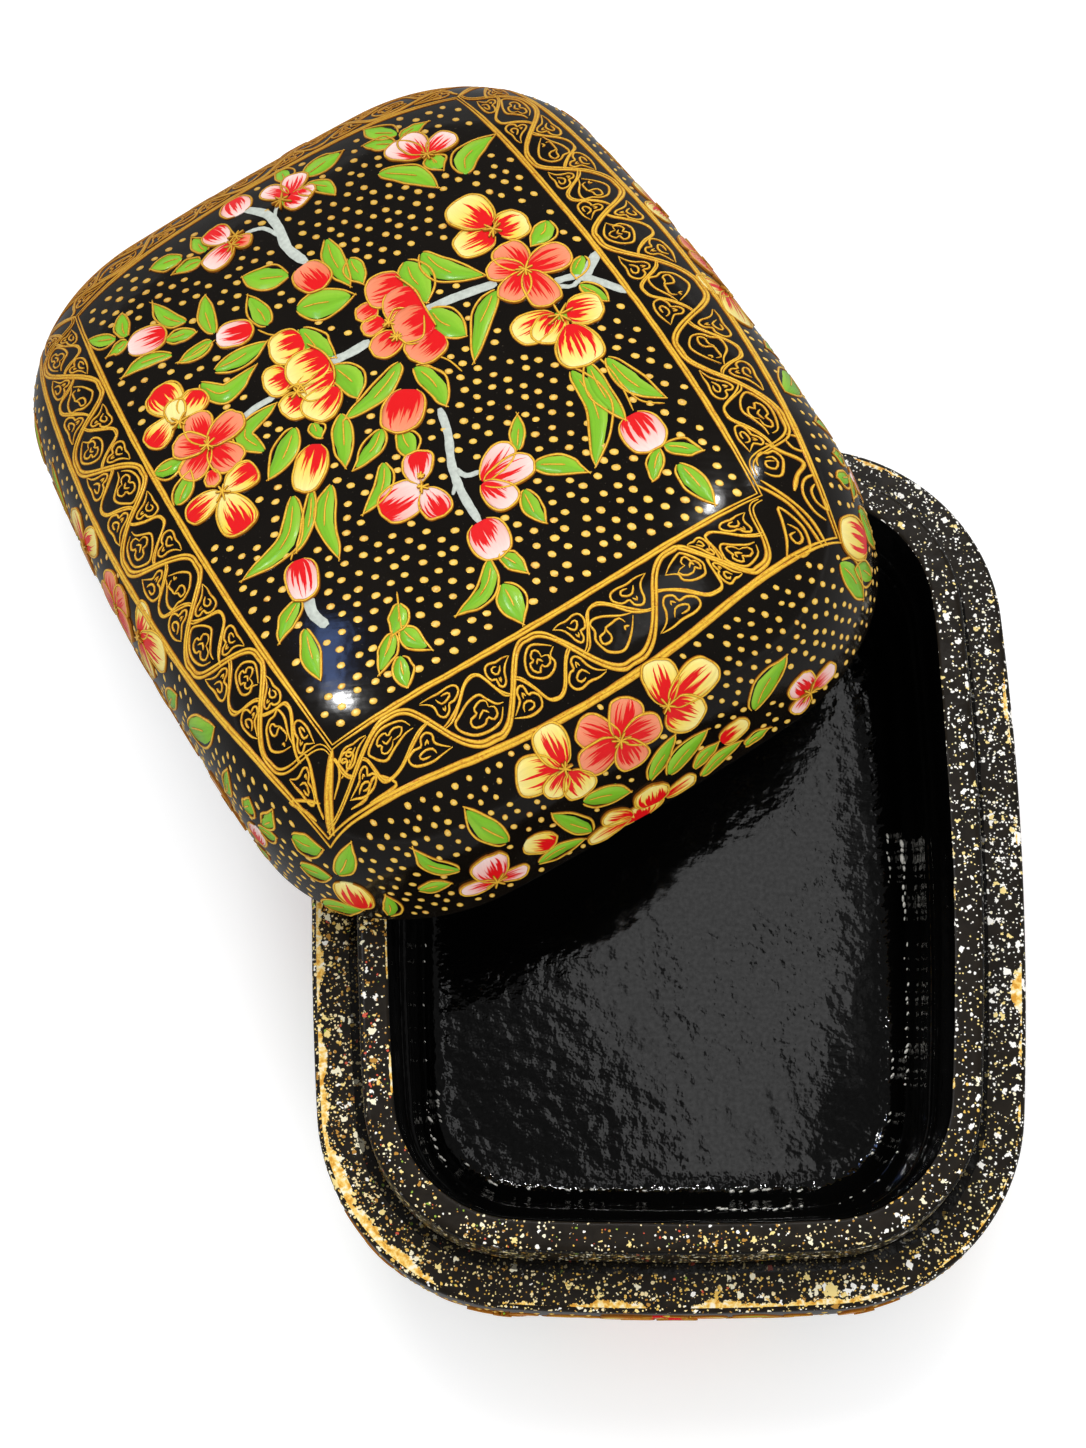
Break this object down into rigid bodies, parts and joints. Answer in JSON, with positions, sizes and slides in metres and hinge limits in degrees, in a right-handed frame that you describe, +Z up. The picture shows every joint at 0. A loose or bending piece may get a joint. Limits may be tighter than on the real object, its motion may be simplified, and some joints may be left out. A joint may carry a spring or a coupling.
{
  "type": "lidded papier-mache box",
  "caption": "Low lacquered papier-mache box with bowed sides: a bowl-shaped base with a raised collar inside its rim, and a domed lid, lifted off and leaning on the base.",
  "frame": {"origin": "centre of the base's flat underside, on the surface that the box stands on", "axes": "+Z up, +X across the base's short side, +Y along the base's long side, towards the end that the lid leans past"},
  "size_m": [0.1471, 0.19, 0.0698],
  "materials": {
    "base_lacquer": "papier-mache under gloss black lacquer, its cut rim scuffed and flecked with gold paint",
    "collar_lacquer": "papier-mache strip under black lacquer, flecked with gold and cream paint on its edge",
    "lid_lacquer": "papier-mache under gloss black lacquer, painted with gold, green, coral, pink and yellow",
    "gold_paint": "hand-painted gold lines and dots under clear varnish",
    "leaf_paint": "hand-painted green leaves under clear varnish",
    "petal_paint": "hand-painted coral, pink and yellow petals under clear varnish"
  },
  "bodies": {
    "base": {"base_shell": "base_lacquer", "lip_collar": "collar_lacquer"},
    "lid": {"lid_shell": "lid_lacquer"}
  },
  "joints": [
    {"name": "lid_lift", "type": "slide", "parent": "base", "child": "lid", "axis": [0, 0, 1], "range_m": [0, 0.08]}
  ]
}
